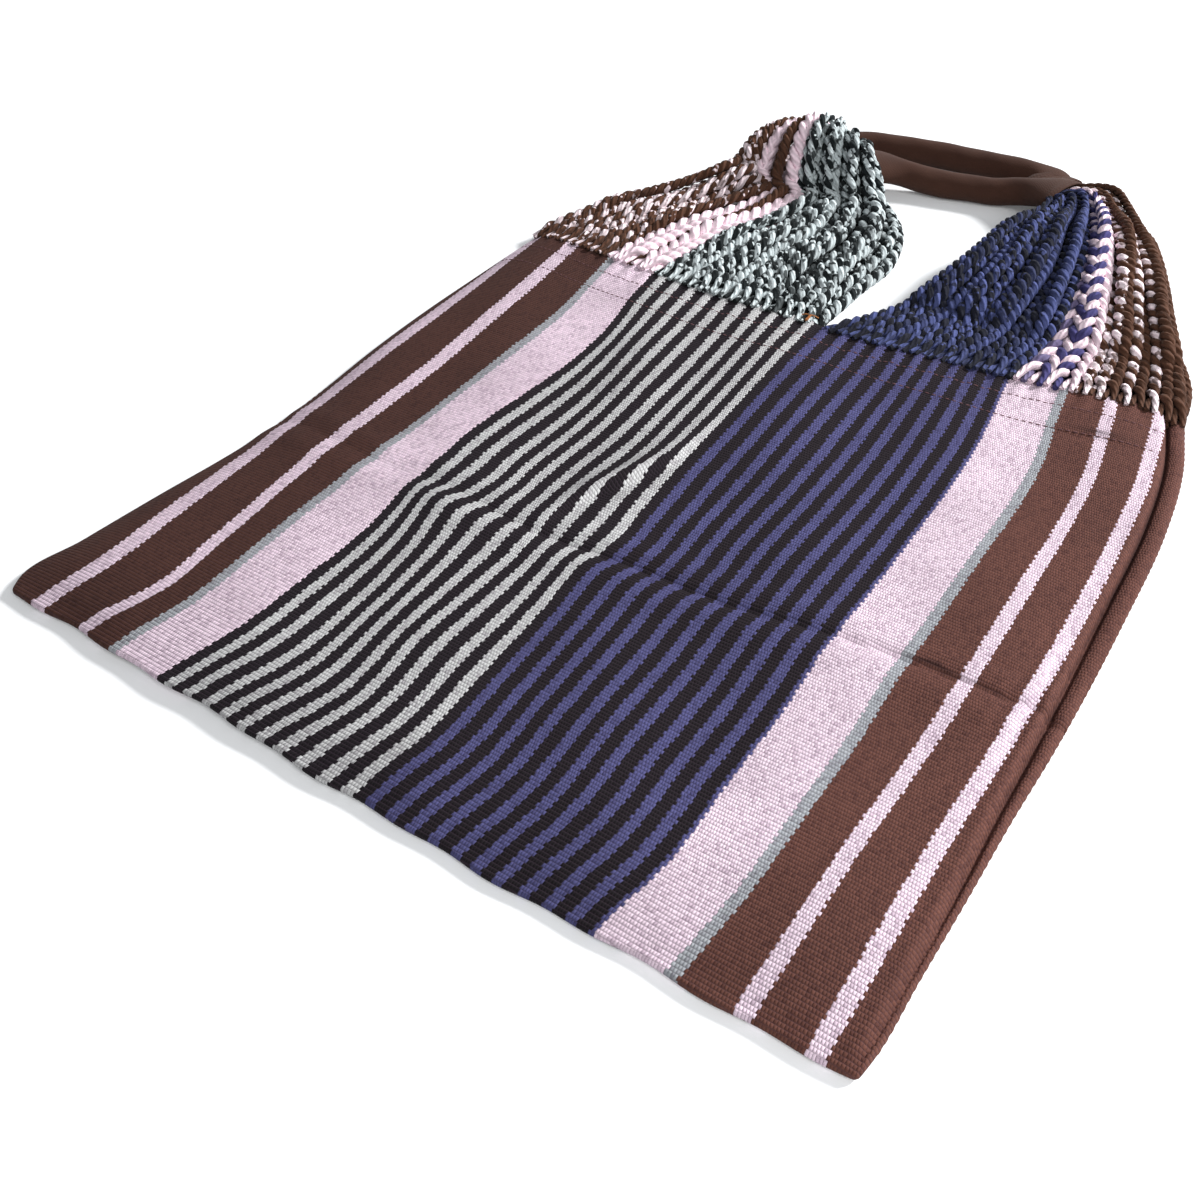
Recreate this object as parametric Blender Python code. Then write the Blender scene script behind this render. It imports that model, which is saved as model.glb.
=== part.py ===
"""Handwoven tote bag lying flat on its back panel, with both handles drawn up.

X runs across the bag, Y from the bottom fold towards the handles and Z up from the
surface that the bag lies on. The origin is at the middle of the whole bag, on that surface.
"""
import bmesh
import bpy
import numpy as np

# Body: one cloth, folded once at the bottom, closed along both sides and open at the top
BODY_WIDTH = 0.418
BODY_HEIGHT = 0.375
BODY_THICKNESS = 0.012
MOUTH_WIDTH = 0.400
MOUTH_SAG = 0.013
CORNER_INSET = 0.004
CLOTH = 0.0020
FLAT_STEPS = 12
EDGE_STEPS = 5
FOLD_STEPS = 4
PANEL_STEPS = 14

# Fan cords: twisted out of the cloth's own warp threads, and squeezed where they meet a handle
CORDS_PER_FAN = 14
CORD_DIAMETER = 0.0090
CORD_END_DIAMETER = 0.0032
CORD_GAP = 0.0012
CORD_END_RUN = 0.0030
CORD_SAMPLES = 13

# How a fan closes up: the clearance over the fan below, how late the cords thin, how loosely
# they meet the mouth, the share of the way after which a row settles to the mouth's height, and
# how far each fan's cords stand aside from even spacing, as a share of it
FAN_GAP = 0.0022
CORD_SQUEEZE = 1.5
MOUTH_SPREAD = 1.03
MOUTH_LEAD = 0.7
FAN_STAGGER = 0.25
LEVEL_PASSES = 3

# Handles: a round tube, flattened at both ends where it takes in a fan
HANDLE_DIAMETER = 0.0160
HANDLE_MOUTH_WALL = 0.0006
HANDLE_MOUTH_RUN = 0.0084
HANDLE_FLARE = 0.028
HANDLE_DROP = 0.050
MOUTH_STACK_GAP = 0.0035
HANDLE_SECTIONS = 25
HANDLE_SIDES = 20

# Centre tack: the knot of thread where the front panel's two fans part
TACK_LENGTH = 0.0070
TACK_DIAMETER = 0.0022

# Clearance between pieces that touch, and the angle in degrees above which an edge is shaded sharp
SEAT = 0.0003
SHARP_EDGE_ANGLE = 50

# Handle mouths: x from the bag's centre line, y above the mouth line, and the heading into the handle
BACK_LEFT_MOUTH = (-0.093, 0.169)
BACK_LEFT_HEADING = (0.10, 1.0)
FRONT_LEFT_MOUTH = (-0.064, 0.139)
FRONT_LEFT_HEADING = (0.20, 1.0)
FRONT_LEFT_MOUTH_Z = 0.030
BACK_RIGHT_MOUTH = (0.077, 0.188)
FRONT_RIGHT_MOUTH = (0.073, 0.175)
RIGHT_HEADING = (-0.64, 0.77)

# Between its mouths a handle lies along these points, x and y as above
BACK_HANDLE_ROUTE = [(-0.088, 0.185), (-0.072, 0.197), (-0.045, 0.2035), (-0.005, 0.2065),
                     (0.030, 0.2070), (0.058, 0.2030)]
FRONT_HANDLE_ROUTE = [(-0.057, 0.153), (-0.042, 0.162), (-0.020, 0.1680), (0.004, 0.1740),
                      (0.032, 0.1795), (0.055, 0.1825)]

# Rows that a fan passes on its way from the mouth of the bag to its handle: x and y of the
# row's middle, half the row's width, its turn from the X axis in degrees, how far the row is
# lifted, and how far its middle arches above its ends.
BACK_LEFT_ROWS = [
    (-0.077, 0.031, 0.085, 0, 0.0000, 0.000),
    (-0.061, 0.062, 0.078, 2, 0.0000, 0.000),
    (-0.060, 0.090, 0.068, 6, 0.0005, 0.000),
    (-0.070, 0.116, 0.052, 12, 0.0005, 0.000),
    (-0.085, 0.138, 0.032, 10, 0.0000, 0.000),
    (-0.092, 0.155, 0.019, 2, 0.0000, 0.000),
]
FRONT_LEFT_ROWS = [
    (-0.085, 0.034, 0.084, 0, 0.0000, 0.000),
    (-0.070, 0.062, 0.074, 0, 0.0000, 0.002),
    (-0.064, 0.085, 0.060, 4, 0.0020, 0.008),
    (-0.062, 0.104, 0.047, 8, 0.0040, 0.012),
    (-0.064, 0.119, 0.033, 4, 0.0050, 0.011),
    (-0.064, 0.129, 0.021, -6, 0.0010, 0.004),
]
BACK_RIGHT_ROWS = [
    (0.116, 0.031, 0.073, 0, 0.0000, 0.000),
    (0.114, 0.062, 0.058, 1, 0.0000, 0.000),
    (0.110, 0.092, 0.047, 3, 0.0000, 0.000),
    (0.104, 0.120, 0.037, 6, 0.0000, 0.000),
    (0.097, 0.147, 0.027, 12, 0.0000, 0.000),
    (0.088, 0.169, 0.019, 22, 0.0000, 0.000),
]
FRONT_RIGHT_ROWS = [
    (0.111, 0.031, 0.072, 0, 0.0000, 0.000),
    (0.111, 0.062, 0.057, 1, 0.0000, 0.000),
    (0.106, 0.092, 0.046, 4, 0.0000, 0.002),
    (0.100, 0.117, 0.036, 8, 0.0000, 0.003),
    (0.093, 0.140, 0.027, 14, 0.0000, 0.003),
    (0.085, 0.159, 0.019, 22, 0.0030, 0.001),
]

# Colours, from the photograph
BROWN = (0.105, 0.045, 0.030, 1.0)
PINK = (0.74, 0.58, 0.66, 1.0)
GREY = (0.42, 0.43, 0.43, 1.0)
NAVY = (0.055, 0.055, 0.19, 1.0)
TACK_COLOUR = (0.42, 0.17, 0.06, 1.0)

CORD_MATERIALS = {BROWN: "brown_cord", PINK: "pink_cord", GREY: "grey_cord", NAVY: "navy_cord"}

# The cords of a fan that are of each colour, counted from the side of the bag
LEFT_COLOURS = [(BROWN, 5), (PINK, 3), (GREY, 6)]
RIGHT_COLOURS = [(BROWN, 5), (PINK, 2), (NAVY, 7)]


def clear_scene():
    for obj in list(bpy.data.objects):
        bpy.data.objects.remove(obj, do_unlink=True)


def material(name, colour, roughness=0.9):
    found = bpy.data.materials.get(name)
    if found:
        return found
    made = bpy.data.materials.new(name)
    made.use_nodes = True
    shader = made.node_tree.nodes["Principled BSDF"]
    shader.inputs["Base Color"].default_value = colour
    shader.inputs["Roughness"].default_value = roughness
    shader.inputs["Metallic"].default_value = 0.0
    made.diffuse_color = colour
    return made


def smooth_curve(points, count):
    """Read count points from a smooth curve through the given points, evenly by row."""
    points = np.array(points, dtype=float)
    before = 2 * points[0] - points[1]
    after = 2 * points[-1] - points[-2]
    padded = np.vstack([before, points, after])
    read = []
    for place in np.linspace(0, len(points) - 1, count):
        span = min(int(place), len(points) - 2)
        t = place - span
        a, b, c, d = padded[span:span + 4]
        read.append(0.5 * (2 * b + (c - a) * t + (2 * a - 5 * b + 4 * c - d) * t**2
                           + (3 * b - a - 3 * c + d) * t**3))
    return np.array(read)


def unit(vectors):
    return vectors / np.linalg.norm(vectors, axis=-1, keepdims=True)


def eased(share):
    """Turn a straight rise from 0 to 1 into one that starts and ends gently."""
    share = np.clip(share, 0, 1)
    return share * share * (3 - 2 * share)


def mouth_line(x):
    """The height of the bag's top edge above its bottom fold, which sags at the middle."""
    return BODY_HEIGHT - MOUTH_SAG * (1 - (2 * x / MOUTH_WIDTH) ** 2)


def cord_start(x):
    """Where a cord centred at x leaves the top edge, clear of it across the cord's width."""
    return mouth_line(abs(x) + CORD_DIAMETER / 2) + SEAT


def half_width(y):
    """Half the body's width at a height above the fold, with rounded bottom corners."""
    taper = (BODY_WIDTH + (MOUTH_WIDTH - BODY_WIDTH) * np.clip(y / BODY_HEIGHT, 0, 1)) / 2
    corner = CORNER_INSET * max(0.0, 1 - y / (4 * CORNER_INSET)) ** 2
    return taper - corner


def body_section(y, inset):
    """One ring round the body at height y: two flat panels joined by round side edges."""
    tall = BODY_THICKNESS / 2
    into = min(max(y, 0.0) / tall, 1.0)
    radius = tall * np.sqrt(1 - (1 - into) ** 2)
    half = half_width(y) - tall
    ring = []
    for x in np.linspace(-half, half, FLAT_STEPS + 1):
        ring.append((x, -1.0, 0.0))
    for angle in np.linspace(-90, 90, EDGE_STEPS + 1)[1:-1]:
        ring.append((half, np.sin(np.radians(angle)), np.cos(np.radians(angle))))
    for x in np.linspace(half, -half, FLAT_STEPS + 1):
        ring.append((x, 1.0, 0.0))
    for angle in np.linspace(90, 270, EDGE_STEPS + 1)[1:-1]:
        ring.append((-half, np.sin(np.radians(angle)), np.cos(np.radians(angle))))
    reach = radius - inset
    return [(x + reach * along, tall + reach * up) for x, up, along in ring]


def body_rows(inset):
    """Heights of the body's rings, as shares of the height, close together round the fold."""
    fold = BODY_THICKNESS / 2
    angles = np.linspace(0, 90, FOLD_STEPS + 1)[1:]
    rows = [fold * (1 - np.cos(np.radians(angle))) for angle in angles]
    rows += list(np.linspace(fold, BODY_HEIGHT, PANEL_STEPS + 1)[1:])
    low = rows[0] + inset
    return [low + (y - rows[0]) * (BODY_HEIGHT - low) / (BODY_HEIGHT - rows[0]) for y in rows]


def add_object(name, mesh, mat):
    obj = bpy.data.objects.new(name, mesh)
    obj.data.materials.append(mat)
    bpy.context.collection.objects.link(obj)
    return obj


def make_body():
    """The folded cloth: an outer skin and an inner one, joined round the open mouth."""
    form = bmesh.new()
    skins = []
    for inset in (0.0, CLOTH):
        rings = []
        for y in body_rows(inset):
            ring = []
            for x, z in body_section(y, inset):
                sagged = y * mouth_line(x) / BODY_HEIGHT
                ring.append(form.verts.new((x, sagged, z)))
            rings.append(ring)
        skins.append(rings)
    sides = len(skins[0][0])
    for rings, inward in zip(skins, (False, True)):
        for low, high in zip(rings, rings[1:]):
            for i in range(sides):
                j = (i + 1) % sides
                quad = [low[i], low[j], high[j], high[i]]
                form.faces.new(quad if inward else quad[::-1])
        first = rings[0]
        for i in range(FLAT_STEPS):
            near = [first[i], first[i + 1]]
            far = [first[FLAT_STEPS + EDGE_STEPS + FLAT_STEPS - i - 1],
                   first[FLAT_STEPS + EDGE_STEPS + FLAT_STEPS - i]]
            quad = [near[1], near[0], far[1], far[0]]
            form.faces.new(quad[::-1] if inward else quad)
        right = first[FLAT_STEPS:FLAT_STEPS + EDGE_STEPS + 1]
        left = first[2 * FLAT_STEPS + EDGE_STEPS:] + [first[0]]
        form.faces.new(right if inward else right[::-1])
        form.faces.new(left if inward else left[::-1])
    outer, inner = skins[0][-1], skins[1][-1]
    for i in range(sides):
        j = (i + 1) % sides
        form.faces.new([outer[i], outer[j], inner[j], inner[i]])
    bmesh.ops.recalc_face_normals(form, faces=form.faces)
    mesh = bpy.data.meshes.new("woven_body")
    form.to_mesh(mesh)
    form.free()
    mesh.shade_smooth()
    mesh.set_sharp_from_angle(angle=np.radians(SHARP_EDGE_ANGLE))
    return add_object("woven_body", mesh, material("striped_cloth", BROWN))


def pleat_wave():
    """Each cord's place in the pleats, from -1 to 1: up, level, down, level across the fan."""
    return np.sin(np.arange(CORDS_PER_FAN) * np.pi / 2)


def end_pitch():
    """Spacing of the cords across a handle's mouth, where the pleats are fully closed."""
    return (CORD_END_DIAMETER + CORD_GAP) / 2 * MOUTH_SPREAD


def end_pleat():
    return np.sqrt((CORD_END_DIAMETER + CORD_GAP) ** 2 - end_pitch() ** 2)


def mouth_half_sizes():
    """Half the width and height of a handle's mouth, which takes in a whole fan."""
    wide = (CORDS_PER_FAN - 1) / 2 * end_pitch() + CORD_END_DIAMETER / 2 + HANDLE_MOUTH_WALL
    tall = end_pleat() + CORD_END_DIAMETER / 2 + HANDLE_MOUTH_WALL
    return wide, tall


def fan_ends(side, front):
    """The fan's handle mouth: its centre, height above the surface and heading."""
    low = mouth_half_sizes()[1] + SEAT
    if side < 0:
        if front:
            return FRONT_LEFT_MOUTH, FRONT_LEFT_MOUTH_Z, FRONT_LEFT_HEADING
        return BACK_LEFT_MOUTH, low, BACK_LEFT_HEADING
    if front:
        return FRONT_RIGHT_MOUTH, 3 * low + MOUTH_STACK_GAP, RIGHT_HEADING
    return BACK_RIGHT_MOUTH, low, RIGHT_HEADING


def fan_edges(side, front, rows):
    """The routes of the fan's outer and inner cord, its lift and its arch, all along it."""
    pitch = MOUTH_WIDTH / 2 / CORDS_PER_FAN
    shift = -FAN_STAGGER * pitch if front else FAN_STAGGER * pitch
    outer_x = side * (MOUTH_WIDTH / 2 - 0.5 * pitch) + shift
    inner_x = side * 0.5 * pitch + shift
    hem_outer = np.array([outer_x, cord_start(outer_x)])
    hem_inner = np.array([inner_x, cord_start(inner_x)])
    hem_middle = (hem_outer + hem_inner) / 2
    mouth, _, heading = fan_ends(side, front)
    along = unit(np.array(heading))
    end = np.array(mouth) + (0, BODY_HEIGHT) - along * SEAT
    end_width = (CORDS_PER_FAN - 1) / 2 * end_pitch()
    end_turn = np.degrees(np.arctan2(along[1], along[0])) - 90
    start_width = (CORDS_PER_FAN - 1) / 2 * pitch
    points = [(*hem_middle, start_width, 0.0, 0.0, 0.0)]
    points += [(x, y + BODY_HEIGHT, half, turn, lift, arch) for x, y, half, turn, lift, arch in rows]
    points += [(*end, end_width, end_turn, 0.0, 0.0)]
    read = smooth_curve(points, CORD_SAMPLES)
    turn = np.radians(read[:, 3])
    outward = np.stack([np.cos(turn), np.sin(turn)], axis=1) * side
    outer = read[:, :2] + outward * read[:, 2:3]
    inner = read[:, :2] - outward * read[:, 2:3]
    outer[0], inner[0] = hem_outer, hem_inner
    return outer, inner, read[:, 4], read[:, 5]


def fan_pleats(rows):
    """At each sample: how thick the cords are, how high their pleats stand and their spacing."""
    way = np.linspace(0, 1, CORD_SAMPLES)
    squeeze = np.cos(np.pi / 2 * way ** CORD_SQUEEZE)
    wanted = CORD_END_DIAMETER + (CORD_DIAMETER - CORD_END_DIAMETER) * squeeze
    heading = unit(np.gradient(rows, axis=1))
    heading = unit(heading[1:] + heading[:-1])
    step = np.diff(rows, axis=0)
    aside = step - heading * np.sum(step * heading, axis=2, keepdims=True)
    pitch = np.linalg.norm(aside, axis=2).min(axis=0)
    thick = np.minimum(wanted, 2 * pitch - CORD_GAP)
    pleat = np.sqrt(np.maximum((thick + CORD_GAP) ** 2 - pitch ** 2, 0))
    return thick, pleat, pitch


def fan_level(front_fan, under, thick, pleat, pitch, lift, end_z):
    """Height of the row's middle at each sample: on the surface, or on top of the back fan."""
    if not front_fan:
        level = SEAT + thick / 2 + pleat + lift
    else:
        below_level, below_thick, below_pleat = under
        level = below_level + below_pleat + pleat + (thick + below_thick) / 2 + FAN_GAP + lift
        nested = np.sqrt(max((thick[0] + CORD_GAP) ** 2 - (pitch[0] / 2) ** 2, 0))
        level[0] = max(below_level[0] + nested, BODY_THICKNESS - CLOTH / 2)
    way = np.linspace(0, 1, CORD_SAMPLES)
    near_mouth = np.clip((way - MOUTH_LEAD) / (1 - MOUTH_LEAD), 0, 1)
    return level + (end_z - level[-1]) * near_mouth


def fan_cords(side, front, rows, under=None):
    """Centre points and thickness of each cord: arrays (cord, sample, 3) and (sample)."""
    outer, inner, lift, arch = fan_edges(side, front, rows)
    share = np.linspace(0, 1, CORDS_PER_FAN)[:, None]
    flat = outer[None] + (inner - outer)[None] * share[:, :, None]
    flat[:, 0, 1] = cord_start(flat[:, 0, 0])
    arched = arch[None] * np.sin(np.pi * share)
    level = np.zeros(CORD_SAMPLES)
    for _ in range(LEVEL_PASSES):
        centres = np.concatenate([flat, (arched + level)[:, :, None]], axis=2)
        thick, pleat, pitch = fan_pleats(centres)
        level = fan_level(front, under, thick, pleat, pitch, lift, fan_ends(side, front)[1])
    centres[:, :, 2] = arched + level
    normal = unit(np.cross(np.gradient(centres, axis=0), np.gradient(centres, axis=1)))
    normal *= np.sign(normal[:, :, 2:3])
    normal[:, [0, -1]] = (0, 0, 1)
    centres = centres + normal * (pleat_wave()[:, None] * pleat[None])[:, :, None]
    into_mouth = (*unit(np.array(fan_ends(side, front)[2])), 0.0)
    leave_hem = centres[:, :1] + np.array((0.0, CORD_END_RUN, 0.0))
    meet_mouth = centres[:, -1:] - CORD_END_RUN * np.array(into_mouth)
    routes = np.concatenate([centres[:, :1], leave_hem, centres[:, 1:-1], meet_mouth, centres[:, -1:]],
                            axis=1)
    widths = np.concatenate([thick[:1], thick, thick[-1:]])
    return routes, widths, (level, thick, pleat)


def make_cord(name, points, thick, mat):
    """A tube along the points, whose radius follows the thickness at each."""
    curve = bpy.data.curves.new(name, "CURVE")
    curve.dimensions = "3D"
    curve.bevel_depth = 1.0
    curve.bevel_resolution = 2
    curve.render_resolution_u = 0
    curve.use_fill_caps = True
    spline = curve.splines.new("POLY")
    spline.points.add(len(points) - 1)
    for point, place, width in zip(spline.points, points, thick):
        point.co = (*place, 1.0)
        point.radius = width / 2
    return add_object(name, curve, mat)


def make_fan(name, side, front, rows, colours, under=None):
    centres, thick, level = fan_cords(side, front, rows, under)
    kinds = [colour for colour, count in colours for _ in range(count)]
    for i, (points, kind) in enumerate(zip(centres, kinds)):
        make_cord(f"{name}_cord_{i + 1:02d}", points, thick, material(CORD_MATERIALS[kind], kind))
    return level


def handle_route(left, right, between):
    """A handle's centre line from its left mouth to its right one, resting on the surface."""
    (left_xy, left_z, left_heading), (right_xy, right_z, right_heading) = left, right
    start = np.array(left_xy)
    end = np.array(right_xy)
    flat = [start, start + HANDLE_MOUTH_RUN * unit(np.array(left_heading)), *between,
            end + HANDLE_MOUTH_RUN * unit(np.array(right_heading)), end]
    route = smooth_curve(flat, HANDLE_SECTIONS) + (0, BODY_HEIGHT)
    steps = np.linalg.norm(np.diff(route, axis=0), axis=1)
    run = np.concatenate([[0], np.cumsum(steps)])
    rest = HANDLE_DIAMETER / 2
    near_left = eased(1 - run / HANDLE_DROP)
    near_right = eased(1 - (run[-1] - run) / HANDLE_DROP)
    high = rest + (left_z - rest) * near_left + (right_z - rest) * near_right
    return np.column_stack([route, high]), run


def make_handle(name, left, right, between):
    """A tube with flattened ends: rings of points along the route, closed by flat faces."""
    centres, run = handle_route(left, right, between)
    to_end = np.minimum(run, run[-1] - run)
    flare = eased(1 - to_end / HANDLE_FLARE)
    mouth_wide, mouth_tall = mouth_half_sizes()
    wide = HANDLE_DIAMETER / 2 + (mouth_wide - HANDLE_DIAMETER / 2) * flare
    tall = HANDLE_DIAMETER / 2 + (mouth_tall - HANDLE_DIAMETER / 2) * flare
    centres[:, 2] = np.maximum(centres[:, 2], tall)
    along = np.gradient(centres, axis=0)
    along[0, :2] = unit(np.array(left[2])) * np.linalg.norm(along[0, :2])
    along[-1, :2] = -unit(np.array(right[2])) * np.linalg.norm(along[-1, :2])
    along[[0, -1], 2] = 0
    along = unit(along)
    across = unit(np.cross([0, 0, 1], along))
    up = np.cross(along, across)
    form = bmesh.new()
    rings = []
    for centre, side, rise, a, b in zip(centres, across, up, wide, tall):
        angles = np.arange(HANDLE_SIDES) * 2 * np.pi / HANDLE_SIDES
        rings.append([form.verts.new(centre + side * a * np.cos(t) + rise * b * np.sin(t))
                      for t in angles])
    for low, high in zip(rings, rings[1:]):
        for i in range(HANDLE_SIDES):
            j = (i + 1) % HANDLE_SIDES
            form.faces.new([low[i], low[j], high[j], high[i]])
    form.faces.new(rings[0][::-1])
    form.faces.new(rings[-1])
    bmesh.ops.recalc_face_normals(form, faces=form.faces)
    mesh = bpy.data.meshes.new(name)
    form.to_mesh(mesh)
    form.free()
    mesh.shade_smooth()
    mesh.set_sharp_from_angle(angle=np.radians(SHARP_EDGE_ANGLE))
    return add_object(name, mesh, material("handle_cloth", BROWN, 0.85))


def make_tack():
    """A short knot of thread on the front panel's top edge, between the two front fans."""
    radius = TACK_DIAMETER / 2
    form = bmesh.new()
    bmesh.ops.create_uvsphere(form, u_segments=12, v_segments=8, radius=radius)
    bmesh.ops.scale(form, vec=(1.0, TACK_LENGTH / TACK_DIAMETER, 1.0), verts=form.verts)
    place = (0.0, mouth_line(0.0) - TACK_LENGTH / 2, BODY_THICKNESS + SEAT + radius)
    bmesh.ops.translate(form, vec=place, verts=form.verts)
    mesh = bpy.data.meshes.new("centre_tack")
    form.to_mesh(mesh)
    form.free()
    mesh.shade_smooth()
    return add_object("centre_tack", mesh, material("tack_thread", TACK_COLOUR))


def centre_on_origin():
    """Move the whole bag along Y so that the origin is at the middle of its length."""
    bpy.context.view_layer.update()
    ends = []
    for obj in bpy.context.collection.objects:
        for corner in obj.bound_box:
            ends.append(corner[1])
    middle = (min(ends) + max(ends)) / 2
    for obj in bpy.context.collection.objects:
        obj.location.y = -middle


clear_scene()
make_body()
make_tack()
left_level = make_fan("left_back", -1, False, BACK_LEFT_ROWS, LEFT_COLOURS)
make_fan("left_front", -1, True, FRONT_LEFT_ROWS, LEFT_COLOURS, left_level)
right_level = make_fan("right_back", 1, False, BACK_RIGHT_ROWS, RIGHT_COLOURS)
make_fan("right_front", 1, True, FRONT_RIGHT_ROWS, RIGHT_COLOURS, right_level)
make_handle("back_handle", fan_ends(-1, False), fan_ends(1, False), BACK_HANDLE_ROUTE)
make_handle("front_handle", fan_ends(-1, True), fan_ends(1, True), FRONT_HANDLE_ROUTE)
centre_on_origin()
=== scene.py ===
"""Handwoven tote bag lying flat on a pale table, seen from over its right front corner."""

from math import pi

import bpy
import numpy as np
from mathutils import Matrix, Vector


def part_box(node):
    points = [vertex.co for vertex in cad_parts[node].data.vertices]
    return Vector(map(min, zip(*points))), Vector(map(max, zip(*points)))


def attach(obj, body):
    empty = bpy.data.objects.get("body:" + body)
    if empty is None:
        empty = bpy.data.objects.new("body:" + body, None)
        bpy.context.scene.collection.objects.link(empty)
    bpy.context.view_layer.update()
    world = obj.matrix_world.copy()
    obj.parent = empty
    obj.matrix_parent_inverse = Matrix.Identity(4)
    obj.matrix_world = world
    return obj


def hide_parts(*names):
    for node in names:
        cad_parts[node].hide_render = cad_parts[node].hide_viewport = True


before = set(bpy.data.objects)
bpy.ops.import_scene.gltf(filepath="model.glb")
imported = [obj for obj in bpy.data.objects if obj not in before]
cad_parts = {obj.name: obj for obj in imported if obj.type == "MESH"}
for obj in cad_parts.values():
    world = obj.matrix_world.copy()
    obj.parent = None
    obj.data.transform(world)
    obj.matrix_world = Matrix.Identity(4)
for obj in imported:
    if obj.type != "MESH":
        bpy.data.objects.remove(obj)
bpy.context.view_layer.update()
scene = bpy.context.scene


# Camera: the photograph is taken from over the right side of the bag's bottom edge, looking
# down at it at about 44 degrees.
camera = bpy.data.objects.new("camera", bpy.data.cameras.new("camera"))
camera.data.lens = 37.7
camera.data.sensor_width = 36.0
right = Vector((0.82395, 0.56428, -0.05191)).normalized()
back = Vector((0.43695, -0.57433, 0.69226)).normalized()
up = back.cross(right)
camera.matrix_world = Matrix.LocRotScale(Vector((0.25425, -0.47007, 0.37233)),
                                         Matrix((right, up, back)).transposed(), None)
scene.collection.objects.link(camera)
scene.camera = camera


# Table and light: a white table top that keeps the bag's soft shadow, a strong lamp high at the
# right behind the bag, a weak one at the right in front, and an even pale room.
TABLE_HALF = 6
TABLE_Z = -0.0004


def material_of(name, roughness=0.9):
    made = bpy.data.materials.new(name)
    made.use_nodes = True
    shader = made.node_tree.nodes["Principled BSDF"]
    shader.inputs["Roughness"].default_value = roughness
    shader.inputs["Specular IOR Level"].default_value = 0.10
    return made, made.node_tree.nodes, made.node_tree.links, shader


def feed(socket, value):
    """Set a socket to a number or colour, or link another node's output to it."""
    if isinstance(value, (int, float, tuple)):
        socket.default_value = value
    else:
        socket.id_data.links.new(value, socket)


def math_node(nodes, operation, *values):
    """A Math node whose inputs are numbers or other nodes' outputs."""
    node = nodes.new("ShaderNodeMath")
    node.operation = operation
    for socket, value in zip(node.inputs, values):
        feed(socket, value)
    return node.outputs[0]


def map_range(nodes, *values):
    """A Map Range node, from its value, the range it comes from and the range it goes to."""
    node = nodes.new("ShaderNodeMapRange")
    for socket, value in zip(node.inputs, values):
        feed(socket, value)
    return node.outputs[0]


def seen_rays(nodes):
    """1 for a ray that shows a thing to the camera straight, in a reflection or through glass."""
    path = nodes.new("ShaderNodeLightPath").outputs
    straight = math_node(nodes, "ADD", path["Is Camera Ray"], path["Is Glossy Ray"])
    return math_node(nodes, "ADD", straight, path["Is Transmission Ray"])


table_mesh = bpy.data.meshes.new("table")
table_mesh.from_pydata([(x * TABLE_HALF, y * TABLE_HALF, TABLE_Z)
                        for x, y in ((-1, -1), (1, -1), (1, 1), (-1, 1))], [], [(0, 1, 2, 3)])
table = bpy.data.objects.new("table", table_mesh)
scene.collection.objects.link(table)
table_paint, nodes, links, shader = material_of("table_paint", 0.8)
shader.inputs["Base Color"].default_value = (0.88, 0.89, 0.90, 1)
distance = nodes.new("ShaderNodeVectorMath")
distance.operation = "LENGTH"
links.new(nodes.new("ShaderNodeTexCoord").outputs["Object"], distance.inputs[0])
far = map_range(nodes, distance.outputs["Value"], 0.4, 1.4, 0.08, 0.80)
glow = math_node(nodes, "MULTIPLY", seen_rays(nodes), far)
shader.inputs["Emission Color"].default_value = (1, 1, 1, 1)
links.new(glow, shader.inputs["Emission Strength"])
table_mesh.materials.append(table_paint)


def area_lamp(name, place, size, watts, aim=(0, 0, 0)):
    lamp = bpy.data.lights.new(name, "AREA")
    lamp.shape = "DISK"
    lamp.size = size
    lamp.energy = watts
    obj = bpy.data.objects.new(name, lamp)
    scene.collection.objects.link(obj)
    obj.location = place
    obj.rotation_euler = (Vector(aim) - Vector(place)).to_track_quat("-Z", "Y").to_euler()


area_lamp("window_lamp", (1.50, 1.70, 1.35), 0.50, 118)
area_lamp("room_lamp", (0.85, -0.60, 0.90), 0.8, 11, (0.1, -0.1, 0))
world = bpy.data.worlds.new("room")
scene.world = world
world.use_nodes = True
nodes, links = world.node_tree.nodes, world.node_tree.links
room = nodes["Background"]
room.inputs["Color"].default_value = (0.93, 0.96, 1.0, 1)
room.inputs["Strength"].default_value = 0.27
white = nodes.new("ShaderNodeBackground")
white.inputs["Strength"].default_value = 1.0
white.inputs["Color"].default_value = (1, 1, 1, 1)
mix = nodes.new("ShaderNodeMixShader")
links.new(seen_rays(nodes), mix.inputs["Fac"])
links.new(room.outputs[0], mix.inputs[1])
links.new(white.outputs[0], mix.inputs[2])
links.new(mix.outputs[0], nodes["World Output"].inputs["Surface"])
scene.view_settings.view_transform = "Standard"


# Woven body: one long warp-faced cotton cloth, folded once at the bottom and sewn up both sides.
# Its stripes are warps of brown, pink, blue-grey, black, grey and navy yarn. It lies nearly flat,
# with a crease across the middle where it was folded for storing, and one pinched fold.
MM = 0.001
FOLD_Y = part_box("woven_body")[0].y
BODY_HEIGHT = 0.375
THICK = 0.0115
CLOTH = 0.0012
MOUTH_WIDTH = 0.400
MOUTH_SAG = 0.017
EDGE = 0.0019
COLUMNS = 201
SEAM_COLUMNS = 34
SEAM_BAND = 0.0150
BACK_COLUMNS = 101
EDGE_COLUMNS = 7
CREASE_Y = 0.154
PINCH_Y = 0.209

# The bag's outline: height above the fold, then its left and right edges, in millimetres
OUTLINE = np.array([(0, -206, 205), (8, -210.2, 206.2), (40, -206, 207), (80, -200, 208),
                    (112, -196, 208.5), (152, -193.5, 210), (233, -196, 210), (293, -196, 208),
                    (340, -194, 202), (375, -192, 193)]) * MM

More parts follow.
